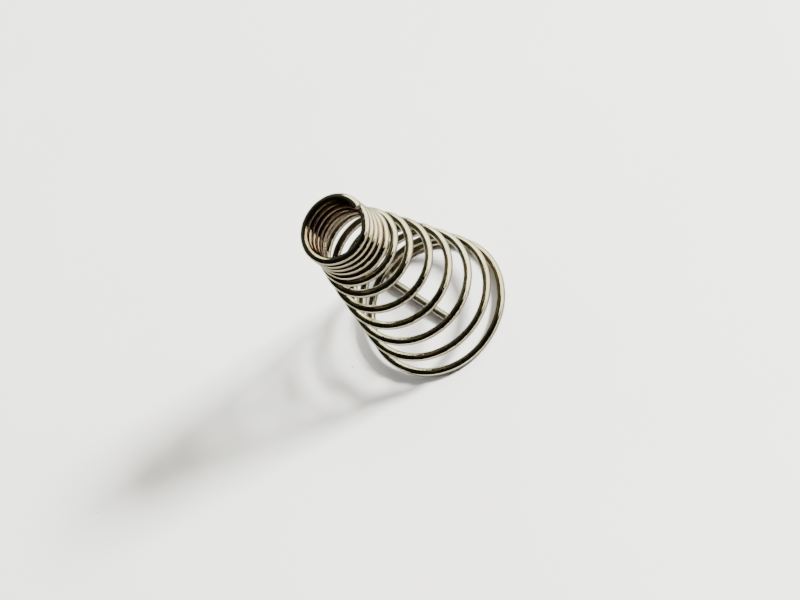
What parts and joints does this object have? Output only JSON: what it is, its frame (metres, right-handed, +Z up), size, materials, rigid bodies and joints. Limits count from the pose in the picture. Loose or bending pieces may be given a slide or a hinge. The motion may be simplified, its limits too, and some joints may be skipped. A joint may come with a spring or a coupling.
{
  "type": "conical coil spring",
  "caption": "Bottle-shaped coil spring of round wire: flat wide base turn with an inward leg, open cone and closed cylindrical neck.",
  "frame": {"origin": "middle of the base turn, on the surface the spring stands on", "axes": "+Z up along the coil's axis to the closed neck; -Y is the side seen in front, and the leg runs in from +Y"},
  "size_m": [0.0216, 0.0216, 0.0332],
  "materials": {
    "nickel_wire": "bright nickel plate on drawn spring wire, fine lengthwise draw marks, a few tarnish specks"
  },
  "bodies": {
    "root": {"base_leg": "nickel_wire", "base_turn": "nickel_wire", "coil_01": "nickel_wire"},
    "turn_02": {"coil_02": "nickel_wire"},
    "turn_03": {"coil_03": "nickel_wire"},
    "turn_04": {"coil_04": "nickel_wire"},
    "turn_05": {"coil_05": "nickel_wire"},
    "turn_06": {"coil_06": "nickel_wire"},
    "turn_07": {"coil_07": "nickel_wire"},
    "turn_08": {"coil_08": "nickel_wire"},
    "turn_09": {"coil_09": "nickel_wire"},
    "turn_10": {"coil_10": "nickel_wire", "coil_11": "nickel_wire"},
    "turn_12": {"coil_12": "nickel_wire"},
    "turn_13": {"coil_13": "nickel_wire"},
    "turn_14": {"coil_14": "nickel_wire"},
    "turn_15": {"coil_15": "nickel_wire"},
    "turn_16": {"coil_16": "nickel_wire"},
    "neck": {"coil_17": "nickel_wire", "neck_shoulder": "nickel_wire", "neck_turn_1": "nickel_wire", "neck_turn_2": "nickel_wire", "neck_turn_3": "nickel_wire", "neck_turn_4": "nickel_wire", "neck_end": "nickel_wire"}
  },
  "joints": [
    {"name": "press_01", "type": "hinge", "parent": "root", "child": "turn_02", "pos_m": [0, 0.00999, 0.00243], "axis": [1, 0, 0], "range_deg": [-2.35, 3.35], "stiffness_Nm_per_rad": 0.513},
    {"name": "sway", "type": "hinge", "parent": "turn_02", "child": "turn_03", "pos_m": [0.00977, 0, 0.00353], "axis": [0, 1, 0], "range_deg": [-2.5, 2.5], "stiffness_Nm_per_rad": 0.195},
    {"name": "press", "type": "hinge", "parent": "turn_03", "child": "turn_04", "pos_m": [0, -0.00956, 0.00463], "axis": [1, 0, 0], "range_deg": [-6.83, 4.78], "stiffness_Nm_per_rad": 0.536},
    {"name": "press_03", "type": "hinge", "parent": "turn_04", "child": "turn_05", "pos_m": [0, 0.00913, 0.00683], "axis": [1, 0, 0], "range_deg": [-5.01, 7.16], "stiffness_Nm_per_rad": 0.561},
    {"name": "press_04", "type": "hinge", "parent": "turn_05", "child": "turn_06", "pos_m": [0, -0.0087, 0.00903], "axis": [1, 0, 0], "range_deg": [-7.51, 5.26], "stiffness_Nm_per_rad": 0.588},
    {"name": "sway_b", "type": "hinge", "parent": "turn_06", "child": "turn_07", "pos_m": [-0.00849, 0, 0.01013], "axis": [0, 1, 0], "range_deg": [-2.51, 2.51], "stiffness_Nm_per_rad": 0.15},
    {"name": "press_05", "type": "hinge", "parent": "turn_07", "child": "turn_08", "pos_m": [0, 0.00828, 0.01123], "axis": [1, 0, 0], "range_deg": [-5.53, 7.9], "stiffness_Nm_per_rad": 0.619},
    {"name": "press_06", "type": "hinge", "parent": "turn_08", "child": "turn_09", "pos_m": [0, -0.00785, 0.01343], "axis": [1, 0, 0], "range_deg": [-8.33, 5.83], "stiffness_Nm_per_rad": 0.652},
    {"name": "press_07", "type": "hinge", "parent": "turn_09", "child": "turn_10", "pos_m": [0, 0.00742, 0.01563], "axis": [1, 0, 0], "range_deg": [-6.17, 8.81], "stiffness_Nm_per_rad": 0.69},
    {"name": "press_08", "type": "hinge", "parent": "turn_10", "child": "turn_12", "pos_m": [0, -0.00699, 0.01783], "axis": [1, 0, 0], "range_deg": [-9.35, 6.55], "stiffness_Nm_per_rad": 0.732},
    {"name": "press_09", "type": "hinge", "parent": "turn_12", "child": "turn_13", "pos_m": [0, 0.00657, 0.02003], "axis": [1, 0, 0], "range_deg": [-6.68, 9.55], "stiffness_Nm_per_rad": 0.78},
    {"name": "press_10", "type": "hinge", "parent": "turn_13", "child": "turn_14", "pos_m": [0, -0.00614, 0.0221], "axis": [1, 0, 0], "range_deg": [-8.43, 5.9], "stiffness_Nm_per_rad": 0.833},
    {"name": "sway_c", "type": "hinge", "parent": "turn_14", "child": "turn_15", "pos_m": [-0.00595, 0, 0.02299], "axis": [0, 1, 0], "range_deg": [-2.51, 2.51], "stiffness_Nm_per_rad": 0.214},
    {"name": "press_11", "type": "hinge", "parent": "turn_15", "child": "turn_16", "pos_m": [0, 0.00576, 0.02379], "axis": [1, 0, 0], "range_deg": [-4.33, 6.18], "stiffness_Nm_per_rad": 0.888},
    {"name": "press_12", "type": "hinge", "parent": "turn_16", "child": "neck", "pos_m": [0, -0.00544, 0.02508], "axis": [1, 0, 0], "range_deg": [-2.48, 1.74], "stiffness_Nm_per_rad": 0.941}
  ],
  "couplings": [
    {"joint": "press_01", "follows": "press", "ratio": -0.48881},
    {"joint": "press_03", "follows": "press", "ratio": -1.0469},
    {"joint": "press_04", "follows": "press", "ratio": 1.0985},
    {"joint": "sway_b", "follows": "sway", "ratio": 1},
    {"joint": "press_05", "follows": "press", "ratio": -1.1554},
    {"joint": "press_06", "follows": "press", "ratio": 1.2185},
    {"joint": "press_07", "follows": "press", "ratio": -1.2889},
    {"joint": "press_08", "follows": "press", "ratio": 1.368},
    {"joint": "press_09", "follows": "press", "ratio": -1.3969},
    {"joint": "press_10", "follows": "press", "ratio": 1.2336},
    {"joint": "sway_c", "follows": "sway", "ratio": 1},
    {"joint": "press_11", "follows": "press", "ratio": -0.90405},
    {"joint": "press_12", "follows": "press", "ratio": 0.36238}
  ]
}
